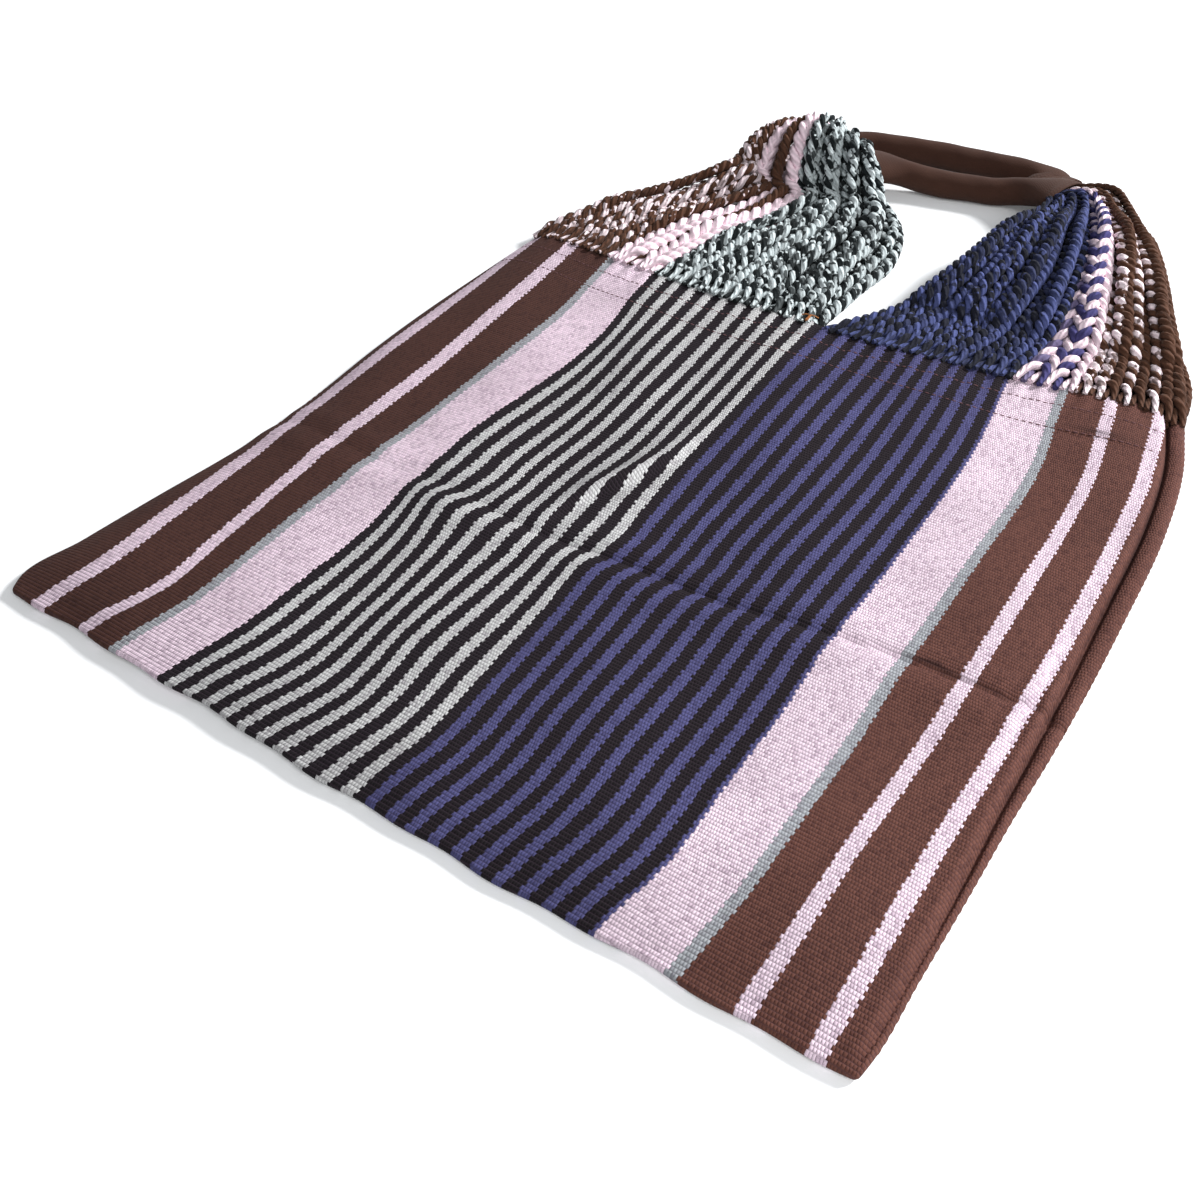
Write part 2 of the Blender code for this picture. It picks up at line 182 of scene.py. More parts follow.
# The cloth's own width is divided, in millimetres from its left edge, into these stripes
STRIPES = [("shaded_brown", 0), ("pink", 18), ("shaded_brown", 27.5), ("pink", 50), ("shaded_brown", 58),
           ("slate", 76), ("pink", 82), ("grey", 110), ("navy", 214), ("pink", 323.2),
           ("slate", 351), ("brown", 356), ("pink", 374.5), ("brown", 381), ("pink", 399),
           ("brown", 406.5)]
CLOTH_WIDTH = 0.422
PAIRED_FROM = 0.110
PAIRED_TO = 0.3232
PAIR = 0.0104
DARK_SHARE = 0.53

# Where some of the warps lie on the front: for each of these warps, millimetres from the cloth's
# left edge, its place across the bag at each height
WARPS = np.array([22.75, 54, 76, 110, 138.6, 180.2, 214, 263.4, 323.2, 356, 377.75, 402.75]) * MM
WARP_LINES = np.array([
    (0, -187, -157.5, -139, -107, -78.3, -37.2, 2.5, 50.2, 108, 142, 164.3, 190.1),
    (32, -177, -143, -129, -95, -65, -24, 11, 58, 116, 147, 166, 191),
    (72, -177, -144, -127, -91, -62, -25, 10.5, 58, 117, 149, 167, 191),
    (112, -180, -147, -127, -90, -64, -23, 9, 58, 118, 150, 169, 192),
    (146, -182, -149, -126, -93, -68, -22.5, 7.5, 57.5, 117, 149, 170, 193),
    (160, -183, -149, -126, -93, -63, -24.5, 11, 59, 117, 149, 170, 193),
    (192, -184, -150, -125, -94, -63, -25, 9.7, 58, 117.5, 149.5, 170, 193.5),
    (233, -185, -150.5, -124, -91, -61, -21, 7.3, 59.5, 118, 149.5, 169.5, 193),
    (273, -185, -153, -124, -88.5, -61, -22, 6.5, 59, 118, 150, 169.5, 191.5),
    (313, -186, -155, -125, -90, -65, -24, 5.7, 57.5, 116, 147.5, 167, 189),
    (345, -188, -158, -129, -96, -68, -26, 5, 57, 112, 142, 162, 184.5),
    (375, -190, -161, -133, -99, -71, -28, 4.5, 55, 108, 138, 157, 180)]) * MM


def between(keys, at):
    """Read a table whose first column is the place, by smooth curves through its rows."""
    places, values = keys[:, 0], keys[:, 1:]
    slopes = np.gradient(values, places, axis=0)
    at = np.clip(at, places[0], places[-1])
    span = np.clip(np.searchsorted(places, at, side="right") - 1, 0, len(places) - 2)
    size = (places[span + 1] - places[span])[..., None]
    t = (at[..., None] - places[span][..., None]) / size
    return ((2 * t**3 - 3 * t**2 + 1) * values[span] + (t**3 - 2 * t**2 + t) * size * slopes[span]
            + (3 * t**2 - 2 * t**3) * values[span + 1] + (t**3 - t**2) * size * slopes[span + 1])


def bump_at(distance, width):
    return np.exp(-(distance / width) ** 2)


def mouth_line(x):
    return BODY_HEIGHT - MOUTH_SAG * np.maximum(1 - (2 * x / MOUTH_WIDTH) ** 2, 0)


def pinch(x, y):
    """How far a point is across the pinched fold, and how strongly the fold shows there."""
    line = np.array([(140, -22), (160, -24), (186, -19), (207, -9), (230, -1), (262, 3), (290, 6)]) * MM
    middle = between(line, y)[..., 0]
    return x - middle, bump_at(y - PINCH_Y, 0.040)


def warp_at(x, y):
    """The cloth's width coordinate at a place on the front."""
    rows = between(WARP_LINES, y)
    found = np.empty(x.shape)
    for i in np.ndindex(x.shape):
        row = rows[i]
        if x[i] < row[0]:
            found[i] = WARPS[0] + x[i] - row[0]
        elif x[i] > row[-1]:
            found[i] = WARPS[-1] + x[i] - row[-1]
        else:
            found[i] = np.interp(x[i], row, WARPS)
    across, strength = pinch(x, y)
    hidden = 0.0028 * np.tanh(across / 0.0016) * strength * np.exp(-np.abs(across) / 0.012)
    return found + hidden


def seam_line(y):
    """Where the front's rolled edge meets the back panel, which shows beyond it on the right."""
    shown = np.clip((y - 0.02) / 0.22, 0, 1)
    return between(OUTLINE, y)[..., 1] - 0.0022 - 0.0062 * shown * shown * (3 - 2 * shown)


def crease_line(x):
    """How high above the fold the crease from storing runs."""
    return (CREASE_Y + 0.010 * np.clip((x - 0.02) / 0.18, 0, 1) + 0.0012 * np.sin(x * 60)
            + 0.0006 * np.sin(x * 330))


def relief(x, y):
    """Height of the front's folds over its flat lie."""
    crease = crease_line(x)
    high = -0.0013 * bump_at(y - crease, 0.0021) * (0.60 + 0.40 * np.tanh((x + 0.03) / 0.05))
    high -= 0.0013 * bump_at(y - crease - 0.013 - 0.06 * (x - 0.16), 0.0016) * bump_at(x - 0.170, 0.022)
    high -= 0.0010 * bump_at(y - 0.338, 0.0015) * bump_at(x - 0.160, 0.020)
    high += 0.0007 * np.sin((x - 0.19) * 700) * bump_at(x - 0.196, 0.009) * bump_at(y - 0.165, 0.030)
    high += 0.0011 * bump_at(y - crease + 0.011, 0.008) + 0.0009 * bump_at(y - crease - 0.010, 0.007)
    across, strength = pinch(x, y)
    ridge = np.where(across < 0, bump_at(across, 0.0085), bump_at(across, 0.0024))
    high += 0.0050 * ridge * strength - 0.0012 * bump_at(across - 0.006, 0.004) * strength
    high += 0.0016 * bump_at(x + 0.070, 0.018) * bump_at(y - 0.145, 0.012)
    high += 0.0008 * np.sin(x * 31 + 1.0) * np.sin(y * 23 + 0.6) + 0.0005 * np.sin(x * 74 + y * 41)
    high += 0.0018 * bump_at(x + 0.055 + (y - 0.29) * 0.3, 0.020) * bump_at(y - 0.285, 0.035)
    gather = np.clip((y - (mouth_line(x) - 0.016)) / 0.016, 0, 1) ** 2
    high += 0.0007 * np.sin(2 * pi * x / PAIR) * gather
    groove = seam_line(y)
    wide = between(OUTLINE, y)[..., 1] - groove
    high -= 0.0019 * bump_at(x - groove, 0.0009) * np.clip((y - 0.03) / 0.14, 0, 1)
    high += 0.0011 * bump_at(x - groove - wide * 0.5, wide * 0.34) * (x > groove)
    high += 0.0009 * bump_at(x - groove + 0.0035, 0.0026)
    return high


def shaded_creases(x, y):
    """How much painted shade the cloth gets in the side seam's groove and along the creases, from 0 to 1.
    """
    dark = 0.80 * bump_at(x - seam_line(y), 0.0008) * np.clip((y - 0.06) / 0.16, 0, 1)
    crease = crease_line(x)
    on_brown = bump_at(x - 0.156, 0.009) + 0.25 * bump_at(x - 0.178, 0.012) + 0.10 * (x > 0.01)
    dark = np.maximum(dark, np.clip(on_brown, 0, 0.8) * bump_at(y - crease, 0.0011))
    return np.maximum(dark, 0.7 * bump_at(y - 0.338 - 0.1 * (x - 0.16), 0.0020) * bump_at(x - 0.162, 0.012))


heights = np.concatenate([EDGE * (1 - np.cos(np.linspace(0.16, 1, 6)[:-1] * pi / 2)),
                          np.linspace(EDGE, 0.03, 12)[:-1], np.linspace(0.03, 0.146, 34),
                          np.linspace(0.147, 0.171, 30), np.linspace(0.1735, BODY_HEIGHT, 66)])
vertices, cloth_u, cloth_v = [], [], []
flat = np.linspace(0, 1, COLUMNS - SEAM_COLUMNS, endpoint=False)
turn = np.linspace(-pi / 2, pi / 2, EDGE_COLUMNS + 2)[1:-1]


def swell(x, y):
    """How far the front stands over its flat sewn edges: the cloth fills out away from them."""
    from_left = np.clip(x - between(OUTLINE, y)[..., 0] - EDGE, 0, None)
    from_right = np.clip(seam_line(y) - x, 0, None)
    return ((THICK - 2 * EDGE) * (1 - np.exp(-from_left / 0.014)) * (1 - 0.45 * np.exp(-from_right / 0.0018)
            - 0.55 * np.exp(-from_right / 0.013)) * (1 - np.exp(-np.clip(y - EDGE, 0, None) / 0.022)))


def fold_lift(x, y):
    """The bottom fold stands off the table a little over part of its length."""
    return 0.0022 * bump_at(x + 0.090, 0.080) * np.exp(-y / 0.030)


for y in heights:
    left, right = between(OUTLINE, np.array(y))
    into = min(y / EDGE, 1.0)
    reach = EDGE * np.sqrt(1 - (1 - into) ** 2)
    low, high = left + EDGE, right - EDGE
    front_x = np.concatenate([low + flat * (high - SEAM_BAND - low),
                              np.linspace(high - SEAM_BAND, high, SEAM_COLUMNS)])
    ring_x = np.concatenate([front_x, high + reach * np.cos(turn), front_x[::-2],
                             low - reach * np.cos(turn)])
    ring_z = np.concatenate([np.full(COLUMNS, reach), -reach * np.sin(turn),
                             np.full(BACK_COLUMNS, -reach), reach * np.sin(turn)])
    ring_y = np.full(len(ring_x), y)
    top = np.clip(ring_z / EDGE, 0, 1) ** 0.5
    lift = (swell(ring_x, ring_y) + relief(ring_x, ring_y)) * top * min(y / 0.008, 1.0)
    lift += fold_lift(ring_x, ring_y)
    sagged = ring_y * mouth_line(ring_x) / BODY_HEIGHT
    sagged = sagged - 0.0035 * bump_at(ring_x - 0.02, 0.14) * np.exp(-ring_y / 0.04)
    waves = 0.0006 * np.sin(ring_x * 150 + 1) + 0.0005 * np.sin(ring_x * 67)
    sagged = sagged + waves * np.exp(-ring_y / 0.010)
    vertices.append(np.column_stack([ring_x, sagged + FOLD_Y, EDGE + ring_z + lift]))
    cloth_u.append(warp_at(ring_x, ring_y))
    cloth_v.append(sagged)
around = len(vertices[0])
points = np.concatenate(vertices)
front_u, cloth_v = np.concatenate(cloth_u), np.concatenate(cloth_v)
back_u = np.interp(points[:, 0], WARP_LINES[7, 1:], WARPS)
back_u += np.minimum(points[:, 0] - WARP_LINES[7, 1], 0) + np.maximum(points[:, 0] - WARP_LINES[7, -1], 0)
back_start = COLUMNS + EDGE_COLUMNS
left_start = back_start + BACK_COLUMNS
faces, face_u = [], []
for r in range(len(heights) - 1):
    for c in range(around):
        n = (c + 1) % around
        quad = [r * around + c, r * around + n, (r + 1) * around + n, (r + 1) * around + c]
        faces.append(quad)
        on_front = c < COLUMNS + EDGE_COLUMNS // 2 or c >= left_start + EDGE_COLUMNS // 2
        source, sign = (front_u, 1) if on_front else (back_u, -1)
        face_u.append([(source[v], cloth_v[v] * sign) for v in quad])
for c in range(BACK_COLUMNS - 1):
    far = left_start - 1 - c
    fold = [2 * c + 2, 2 * c + 1, 2 * c, far, far - 1]
    faces.append(fold)
    face_u.append([(front_u[v], cloth_v[v]) for v in fold])
for side in (list(range(COLUMNS - 1, back_start + 1)), list(range(left_start - 1, around)) + [0]):
    faces.append(side[::-1])
    face_u.append([(front_u[v], cloth_v[v]) for v in side[::-1]])
body_mesh = bpy.data.meshes.new("woven_bag_body")
body_mesh.from_pydata(points.tolist(), [], faces)
uv = body_mesh.uv_layers.new(name="cloth")
uv.data.foreach_set("uv", np.array([pair for face in face_u for pair in face], np.float32).ravel())
# Painted shade: how dark each point of the front is painted in the seam's groove and along the creases
crevice_shade = body_mesh.attributes.new("crevice_shade", "FLOAT", "POINT")
crevice_shade.data.foreach_set("value", (shaded_creases(points[:, 0], points[:, 1] - FOLD_Y)
                                   * (points[:, 2] > EDGE)).astype(np.float32))
body = bpy.data.objects.new("woven_bag_body", body_mesh)
scene.collection.objects.link(body)
body_mesh.shade_smooth()
body_mesh.update()


def apply_modifiers(obj):
    """Turn the object as its modifiers make it into a plain mesh."""
    evaluated = obj.evaluated_get(bpy.context.evaluated_depsgraph_get())
    plain = bpy.data.meshes.new_from_object(evaluated)
    obj.modifiers.clear()
    obj.data = plain
    return obj


solid = body.modifiers.new("cloth", "SOLIDIFY")
solid.thickness = CLOTH
solid.offset = -1
apply_modifiers(body)


def new_group(name, inputs, outputs):
    """An empty shader node group with sockets of the given kinds, and its two end nodes."""
    group = bpy.data.node_groups.new(name, "ShaderNodeTree")
    for direction, sockets in (("INPUT", inputs), ("OUTPUT", outputs)):
        for label, kind, *value in sockets:
            socket = group.interface.new_socket(name=label, in_out=direction,
                                                socket_type="NodeSocket" + kind)
            if value:
                socket.default_value = value[0]
    entry = group.nodes.new("NodeGroupInput")
    leave = group.nodes.new("NodeGroupOutput")
    return group, group.nodes, group.links, entry.outputs, leave.inputs


def cell_chance(nodes, column, row):
    """A random number for each cell of a grid."""
    cell = nodes.new("ShaderNodeCombineXYZ")
    feed(cell.inputs[0], column)
    feed(cell.inputs[1], row)
    chance = nodes.new("ShaderNodeTexWhiteNoise")
    chance.noise_dimensions = "2D"
    feed(chance.inputs["Vector"], cell.outputs[0])
    return chance.outputs["Value"]


# In a warp-faced plain weave each weft rib shows every other warp, and the next rib the others,
# so a float is a small pillow and each stripe's edge is toothed
SLIP_PATCH = 0.017
weave, nodes, links, given, result = new_group(
    "warp_faced_weave",
    [("Cloth", "Vector"), ("Float Width", "Float", 0.0021), ("Rib", "Float", 0.00165)],
    [("Warp", "Float"), ("Height", "Float"), ("Chance", "Float"), ("Gap", "Float")])
split = nodes.new("ShaderNodeSeparateXYZ")
links.new(given["Cloth"], split.inputs[0])
wander = nodes.new("ShaderNodeTexNoise")
wander.noise_dimensions = "2D"
wander.inputs["Scale"].default_value = 160
links.new(given["Cloth"], wander.inputs["Vector"])
shift = math_node(nodes, "MULTIPLY_ADD", wander.outputs["Fac"], 0.0010, -0.0005)
rib = math_node(nodes, "DIVIDE", split.outputs["Y"], given["Rib"])
rib_number = math_node(nodes, "FLOOR", rib)
patch = math_node(nodes, "FLOOR", math_node(nodes, "DIVIDE", split.outputs["X"], SLIP_PATCH))
slip = math_node(nodes, "MULTIPLY_ADD", cell_chance(nodes, patch, rib_number), 0.0005, -0.00025)
across = math_node(nodes, "ADD", math_node(nodes, "ADD", split.outputs["X"], shift), slip)
odd = math_node(nodes, "FLOORED_MODULO", rib_number, 2.0)
half = math_node(nodes, "MULTIPLY", odd, 0.5)
place = math_node(nodes, "ADD", math_node(nodes, "DIVIDE", across, given["Float Width"]), half)
number = math_node(nodes, "FLOOR", place)
middle = math_node(nodes, "SUBTRACT", math_node(nodes, "ADD", number, 0.5), half)
links.new(math_node(nodes, "MULTIPLY", middle, given["Float Width"]), result["Warp"])
side, rise = (math_node(nodes, "SINE", math_node(nodes, "MULTIPLY", math_node(
    nodes, "FRACT", part), pi)) for part in (place, rib))
pillow = math_node(nodes, "MULTIPLY", math_node(nodes, "POWER", side, 0.45),
                   math_node(nodes, "POWER", rise, 0.7))
links.new(pillow, result["Height"])
# Gap: how deep a place lies between the floats, the mask for painted shade in the hollows
gap = math_node(nodes, "SUBTRACT", 1.0, pillow)
links.new(math_node(nodes, "POWER", gap, 2.2), result["Gap"])
links.new(cell_chance(nodes, number, rib_number), result["Chance"])

# The brown stripes at the cloth's left are painted darker than the same brown at its right: painted shade
# where less light falls.
SHADED_BROWN = (0.066, 0.028, 0.020, 1)
BROWN = (0.122, 0.050, 0.037, 1)
PINK = (0.79, 0.63, 0.73, 1)
SLATE = (0.36, 0.375, 0.40, 1)
GREY = (0.545, 0.545, 0.545, 1)
BLACK = (0.010, 0.008, 0.010, 1)
NAVY = (0.078, 0.078, 0.195, 1)
YARNS = {"shaded_brown": SHADED_BROWN, "brown": BROWN, "pink": PINK, "slate": SLATE, "grey": GREY,
         "navy": NAVY}


def mixed(nodes, factor, a, b, blend="MIX"):
    """A colour Mix node whose factor and colours are values or other nodes' outputs."""
    node = nodes.new("ShaderNodeMix")
    node.data_type = "RGBA"
    node.blend_type = blend
    for index, value in ((0, factor), (6, a), (7, b)):
        feed(node.inputs[index], value)
    return node.outputs[2]


def dimmed(nodes, colour, factor):
    """A colour times a brightness that changes over the surface."""
    grey = nodes.new("ShaderNodeCombineColor")
    for socket in grey.inputs:
        feed(socket, factor)
    return mixed(nodes, 1.0, colour, grey.outputs[0], "MULTIPLY")


def noise(nodes, scale, detail=2.0):
    """The value of a noise pattern in the piece's own coordinates."""
    node = nodes.new("ShaderNodeTexNoise")
    node.inputs["Scale"].default_value = scale
    node.inputs["Detail"].default_value = detail
    feed(node.inputs["Vector"], nodes.new("ShaderNodeTexCoord").outputs["Object"])
    return node.outputs["Fac"]


def add_bump(nodes, shader, height, strength, distance):
    bump = nodes.new("ShaderNodeBump")
    bump.inputs["Strength"].default_value = strength
    bump.inputs["Distance"].default_value = distance
    feed(bump.inputs["Height"], height)
    feed(shader.inputs["Normal"], bump.outputs[0])


def woven_surface(nodes, float_width, rib):
    """The weave on a piece's cloth coordinates."""
    cloth_uv = nodes.new("ShaderNodeUVMap")
    cloth_uv.uv_map = "cloth"
    woven = nodes.new("ShaderNodeGroup")
    woven.node_tree = weave
    woven.inputs["Float Width"].default_value = float_width
    woven.inputs["Rib"].default_value = rib
    feed(woven.inputs["Cloth"], cloth_uv.outputs[0])
    return woven.outputs


striped_cloth, nodes, links, shader = material_of("striped_cloth", 0.86)
woven = woven_surface(nodes, 0.0012, 0.00165)
ramp = nodes.new("ShaderNodeValToRGB")
ramp.color_ramp.interpolation = "CONSTANT"
stops = ramp.color_ramp.elements
stops[0].color = SHADED_BROWN
stops.remove(stops[1])
for yarn, start in STRIPES[1:]:
    stops.new(start * MM / CLOTH_WIDTH).color = YARNS[yarn]
links.new(math_node(nodes, "DIVIDE", woven["Warp"], CLOTH_WIDTH), ramp.inputs[0])
from_pairs = math_node(nodes, "SUBTRACT", woven["Warp"], PAIRED_FROM)
pair = math_node(nodes, "FRACT", math_node(nodes, "DIVIDE", from_pairs, PAIR))
dark = math_node(nodes, "LESS_THAN", pair, DARK_SHARE)
after = math_node(nodes, "GREATER_THAN", woven["Warp"], PAIRED_FROM)
before = math_node(nodes, "LESS_THAN", woven["Warp"], PAIRED_TO)
dark = math_node(nodes, "MULTIPLY", dark, math_node(nodes, "MULTIPLY", after, before))
yarn_colour = mixed(nodes, dark, ramp.outputs["Color"], BLACK)
brightness = map_range(nodes, woven["Chance"], 0.0, 1.0, 0.76, 1.13)
patch_light = map_range(nodes, noise(nodes, 26, 4), 0.3, 0.7, 0.90, 1.09)
varied = dimmed(nodes, yarn_colour, math_node(nodes, "MULTIPLY", brightness, patch_light))
speck = map_range(nodes, woven["Chance"], 0.50, 1.0, 0.0, 1.0)
varied = mixed(nodes, speck, varied, (0.52, 0.50, 0.52, 1), "MULTIPLY")
# Painted shade: the hollows between the floats are darkened
shaded = mixed(nodes, math_node(nodes, "MULTIPLY", woven["Gap"], 0.42), varied,
               (0.055, 0.035, 0.05, 1))
# Painted shade: the cloth is painted nearly black in the side seam's groove and along the creases
crease_shade = nodes.new("ShaderNodeAttribute")
crease_shade.attribute_name = "crevice_shade"
links.new(mixed(nodes, crease_shade.outputs["Fac"], shaded, (0.018, 0.008, 0.008, 1)),
          shader.inputs["Base Color"])
add_bump(nodes, shader, woven["Height"], 0.8, 0.00045)
body.data.materials.clear()
body.data.materials.append(striped_cloth)


# Machine stitching: two rows of thread across the front below the mouth and two across the back,
# and the thread that closes each side.
def group_tree(name, inputs):
    """An empty Geometry Nodes tree with a geometry input, the given ones and its end nodes."""
    tree = bpy.data.node_groups.new(name, "GeometryNodeTree")
    tree.interface.new_socket(name="Geometry", in_out="INPUT", socket_type="NodeSocketGeometry")
    for label, kind, value in inputs:
        socket = tree.interface.new_socket(name=label, in_out="INPUT", socket_type="NodeSocket" + kind)
        if value is not None:
            socket.default_value = value
    tree.interface.new_socket(name="Geometry", in_out="OUTPUT", socket_type="NodeSocketGeometry")
    entry = tree.nodes.new("NodeGroupInput")
    leave = tree.nodes.new("NodeGroupOutput")
    return tree, tree.nodes, tree.links, entry.outputs, leave.inputs


def run_tree(obj, tree, values):
    """Put a tree on an object with its inputs set, and keep what it makes as a plain mesh."""
    modifier = obj.modifiers.new(tree.name, "NODES")
    modifier.node_group = tree
    for item in tree.interface.items_tree:
        if item.in_out == "INPUT" and item.name in values:
            modifier[item.identifier] = values[item.name]
    return apply_modifiers(obj)


def line_object(name, lines, attributes=None):
    """A mesh of open lines, with one value at each point for each named attribute."""
    mesh = bpy.data.meshes.new(name)
    joined = np.concatenate(lines)
    edges, start = [], 0
    for line in lines:
        edges += [(start + i, start + i + 1) for i in range(len(line) - 1)]
        start += len(line)
    mesh.from_pydata(joined.tolist(), edges, [])
    for label, values in (attributes or {}).items():
        values = np.concatenate(values).astype(np.float32)
        kind = "FLOAT_VECTOR" if values.ndim == 2 else "FLOAT"
        made = mesh.attributes.new(label, kind, "POINT")
        made.data.foreach_set("vector" if values.ndim == 2 else "value", values.ravel())
    obj = bpy.data.objects.new(name, mesh)
    scene.collection.objects.link(obj)
    return obj


def spaced_curve(nodes, given, length):
    """The curve along the tree's lines, with a point at each length."""
    line = nodes.new("GeometryNodeMeshToCurve")
    feed(line.inputs[0], given["Geometry"])
    spaced = nodes.new("GeometryNodeResampleCurve")
    spaced.mode = "LENGTH"
    feed(spaced.inputs["Curve"], line.outputs[0])
    feed(spaced.inputs["Length"], length)
    return spaced.outputs[0]


def finish_tree(nodes, made, given, result):
    """Make what a tree has placed real, smooth and painted, and put it out."""
    for kind in ("RealizeInstances", "SetShadeSmooth", "SetMaterial"):
        node = nodes.new("GeometryNode" + kind)
        feed(node.inputs[0], made)
        made = node.outputs[0]
    feed(node.inputs["Material"], given["Material"])
    feed(result[0], made)


HEM_DROPS = (0.0165, 0.0345)
HEM_POINTS = 220
SIDE_POINTS = 160
stitch_tree, nodes, links, given, result = group_tree(
    "stitch_row", [("Spacing", "Float", 0.0032), ("Stitch Length", "Float", 0.0022),
                   ("Thread", "Float", 0.0006), ("Material", "Material", None)])
bead = nodes.new("GeometryNodeMeshUVSphere")
bead.inputs["Segments"].default_value = 8
bead.inputs["Rings"].default_value = 6
bead.inputs["Radius"].default_value = 0.5
size = nodes.new("ShaderNodeCombineXYZ")
for socket, label in zip(size.inputs, ("Thread", "Thread", "Stitch Length")):
    links.new(given[label], socket)
tangent = nodes.new("GeometryNodeInputTangent")
aim = nodes.new("FunctionNodeAlignRotationToVector")
aim.axis = "Z"
links.new(tangent.outputs[0], aim.inputs["Vector"])
place = nodes.new("GeometryNodeInstanceOnPoints")
links.new(spaced_curve(nodes, given, given["Spacing"]), place.inputs["Points"])
links.new(bead.outputs[0], place.inputs["Instance"])
links.new(aim.outputs[0], place.inputs["Rotation"])
links.new(size.outputs[0], place.inputs["Scale"])
finish_tree(nodes, place.outputs[0], given, result)

thread_paint, nodes, links, shader = material_of("stitch_thread", 0.8)
links.new(mixed(nodes, noise(nodes, 900), (0.10, 0.045, 0.045, 1), (0.20, 0.11, 0.12, 1)),
          shader.inputs["Base Color"])


def on_front(x, y, over):
    """A line of points that lies on the front of the body."""
    high = 2 * EDGE + swell(x, y) + relief(x, y) + over
    return np.column_stack([x, y * mouth_line(x) / BODY_HEIGHT + FOLD_Y, high])


hem_x = np.linspace(-0.190, 0.186, HEM_POINTS)
hem_lines = [on_front(hem_x, np.full(HEM_POINTS, BODY_HEIGHT - drop)
                      + 0.0006 * np.sin(hem_x * 40 + drop * 900), 0.0001) for drop in HEM_DROPS]
back_lines = [np.column_stack([hem_x, line[:, 1], np.full(HEM_POINTS, 0.0004)])
              for line in hem_lines]
stitches = line_object("machine_stitches", hem_lines + back_lines)
run_tree(stitches, stitch_tree, {"Spacing": 0.0034, "Stitch Length": 0.0024, "Thread": 0.00055,
                                 "Material": thread_paint})

side_thread, nodes, links, shader = material_of("side_thread", 0.85)
links.new(mixed(nodes, noise(nodes, 600), BROWN, (0.14, 0.06, 0.04, 1)),
          shader.inputs["Base Color"])
side_y = np.linspace(0.012, BODY_HEIGHT - 0.003, SIDE_POINTS)
edges = between(OUTLINE, side_y)
side_lines = []
for column, outward in ((0, -1), (1, 1)):
    x = edges[:, column] - outward * 0.0001
    side_lines.append(np.column_stack([x, side_y * mouth_line(x) / BODY_HEIGHT + FOLD_Y,
                                       np.full(SIDE_POINTS, EDGE)]))
side_stitches = line_object("side_seam_thread", side_lines)
run_tree(side_stitches, stitch_tree, {"Spacing": 0.0042, "Stitch Length": 0.0030, "Thread": 0.0006,
                                      "Material": side_thread})

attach(body, "root")
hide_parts("woven_body")
for piece in (stitches, side_stitches):
    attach(piece, "root")


# Fan cords: beyond the last weft the cloth's own warps are gathered, a light bundle and a dark
# one at a time, and twisted into two-ply cords. The cords of each half of a panel draw together
# in a fan, and the front fan lies on the back one.
SEAT = 0.0003
SAMPLES = 72
MOUTH_LEAD = 0.7
CORD = 0.0070
CORD_END = 0.0036
FAN_GAP = 0.0012
LAY = 0.0112
SQUASH = 0.80
CAD_CORDS = 14
CAD_PITCH = MOUTH_WIDTH / 2 / CAD_CORDS
MOUTH_HALF = 0.0140
FANS = {
    "left_back": dict(side=-1, front=False, mouth=(-0.093, 0.169), high=0.006, heading=(0.1, 1.0), rows=[
        (-0.083, 0.031, 0.082, 0, 0, 0), (-0.068, 0.062, 0.073, 2, 0, 0),
        (-0.065, 0.09, 0.063, 6, 0.0005, 0), (-0.073, 0.116, 0.048, 12, 0.0005, 0),
        (-0.085, 0.138, 0.032, 10, 0, 0), (-0.092, 0.155, 0.019, 2, 0, 0)]),
    "left_front": dict(side=-1, front=True, mouth=(-0.05, 0.156), high=0.015, heading=(0.9, 0.4),
        regroup=(0.44, 0.09, (0, 0.32, 0.38, 0.41, 0.44, 0.47, 0.5, 1),
                 (-0.02, 0.13, 0.21, 0.27, 0.33, 0.39, 0.42, 1)), rows=[
        (-0.089, 0.034, 0.08, 0, 0, 0), (-0.074, 0.062, 0.069, 0, -0.0015, -0.002),
        (-0.067, 0.084, 0.057, 2, -0.002, -0.002), (-0.064, 0.1, 0.047, 4, 0, -0.001),
        (-0.066, 0.116, 0.037, 2, 0.014, 0.009), (-0.067, 0.132, 0.027, -10, 0.02, 0.01),
        (-0.062, 0.145, 0.019, -34, 0.0085, 0.003)]),
    "right_back": dict(side=1, front=False, mouth=(0.061, 0.193), high=0.0075, heading=(-0.86, 0.5),
        rows=[
        (0.112, 0.031, 0.073, 0, 0, 0), (0.109, 0.062, 0.057, 1, 0, 0),
        (0.104, 0.092, 0.046, 3, 0, 0), (0.098, 0.12, 0.036, 6, 0, 0),
        (0.09, 0.145, 0.027, 12, 0, 0), (0.081, 0.166, 0.019, 26, 0, 0),
        (0.071, 0.183, 0.016, 44, 0, 0)]),
    "right_front": dict(side=1, front=True, mouth=(0.071, 0.1715), high=0.016, heading=(-0.95, 0.3),
        rows=[
        (0.108, 0.029, 0.072, 0, 0, 0), (0.107, 0.058, 0.057, 1, 0, 0),
        (0.103, 0.086, 0.047, 4, 0, 0.002), (0.098, 0.11, 0.038, 8, 0, 0.003),
        (0.093, 0.131, 0.03, 14, 0, 0.003), (0.088, 0.15, 0.023, 26, 0.003, 0.001),
        (0.081, 0.165, 0.018, 48, 0.003, 0.001)]),
}

